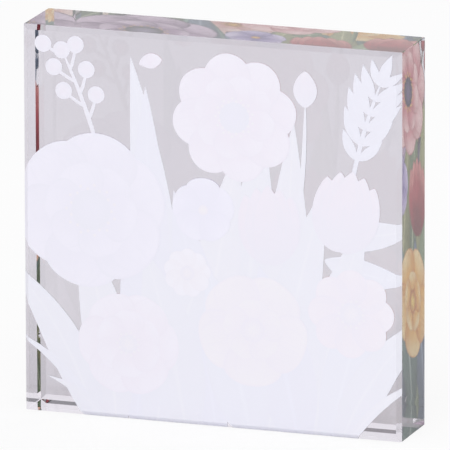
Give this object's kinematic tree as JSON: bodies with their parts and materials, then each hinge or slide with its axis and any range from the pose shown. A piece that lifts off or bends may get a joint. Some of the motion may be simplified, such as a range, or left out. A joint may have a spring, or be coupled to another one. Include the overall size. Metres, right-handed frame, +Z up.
{
  "type": "glass plaque",
  "caption": "Thick square block of clear glass with bevelled edges, standing on one edge, with a floral picture printed on its back face and backed in white.",
  "frame": {"origin": "middle of the printed block's footprint, on the surface that it stands on", "axes": "+Z up, +Y out of the clear display face, -Y out of the printed back face, +X to the right as seen from the printed back"},
  "size_m": [0.127, 0.0266, 0.127],
  "materials": {
    "clear_glass": "polished",
    "white_ink": "satin",
    "mauve_ink": "satin",
    "pink_ink": "satin",
    "rose_ink": "satin",
    "yellow_ink": "satin",
    "peach_ink": "satin",
    "lilac_ink": "satin",
    "blush_ink": "satin",
    "cream_ink": "satin",
    "berry_ink": "satin",
    "sage_ink": "satin",
    "slate_ink": "satin"
  },
  "bodies": {
    "root": {"glass_block": "clear_glass", "white_backing": "white_ink", "white_backing_petal": "white_ink", "mauve_poppy": "mauve_ink", "pink_anemone": "pink_ink", "lilac_blossom": "lilac_ink", "yellow_primrose": "yellow_ink", "peach_cosmos": "peach_ink", "blush_blossom": "blush_ink", "cream_daisy": "cream_ink", "rose_tulip_left": "rose_ink", "rose_tulip_right": "rose_ink", "poppy_bud": "rose_ink", "loose_petal": "pink_ink", "berry_spray": "berry_ink", "slate_fern": "slate_ink", "border_leaves": "sage_ink"}
  },
  "joints": []
}
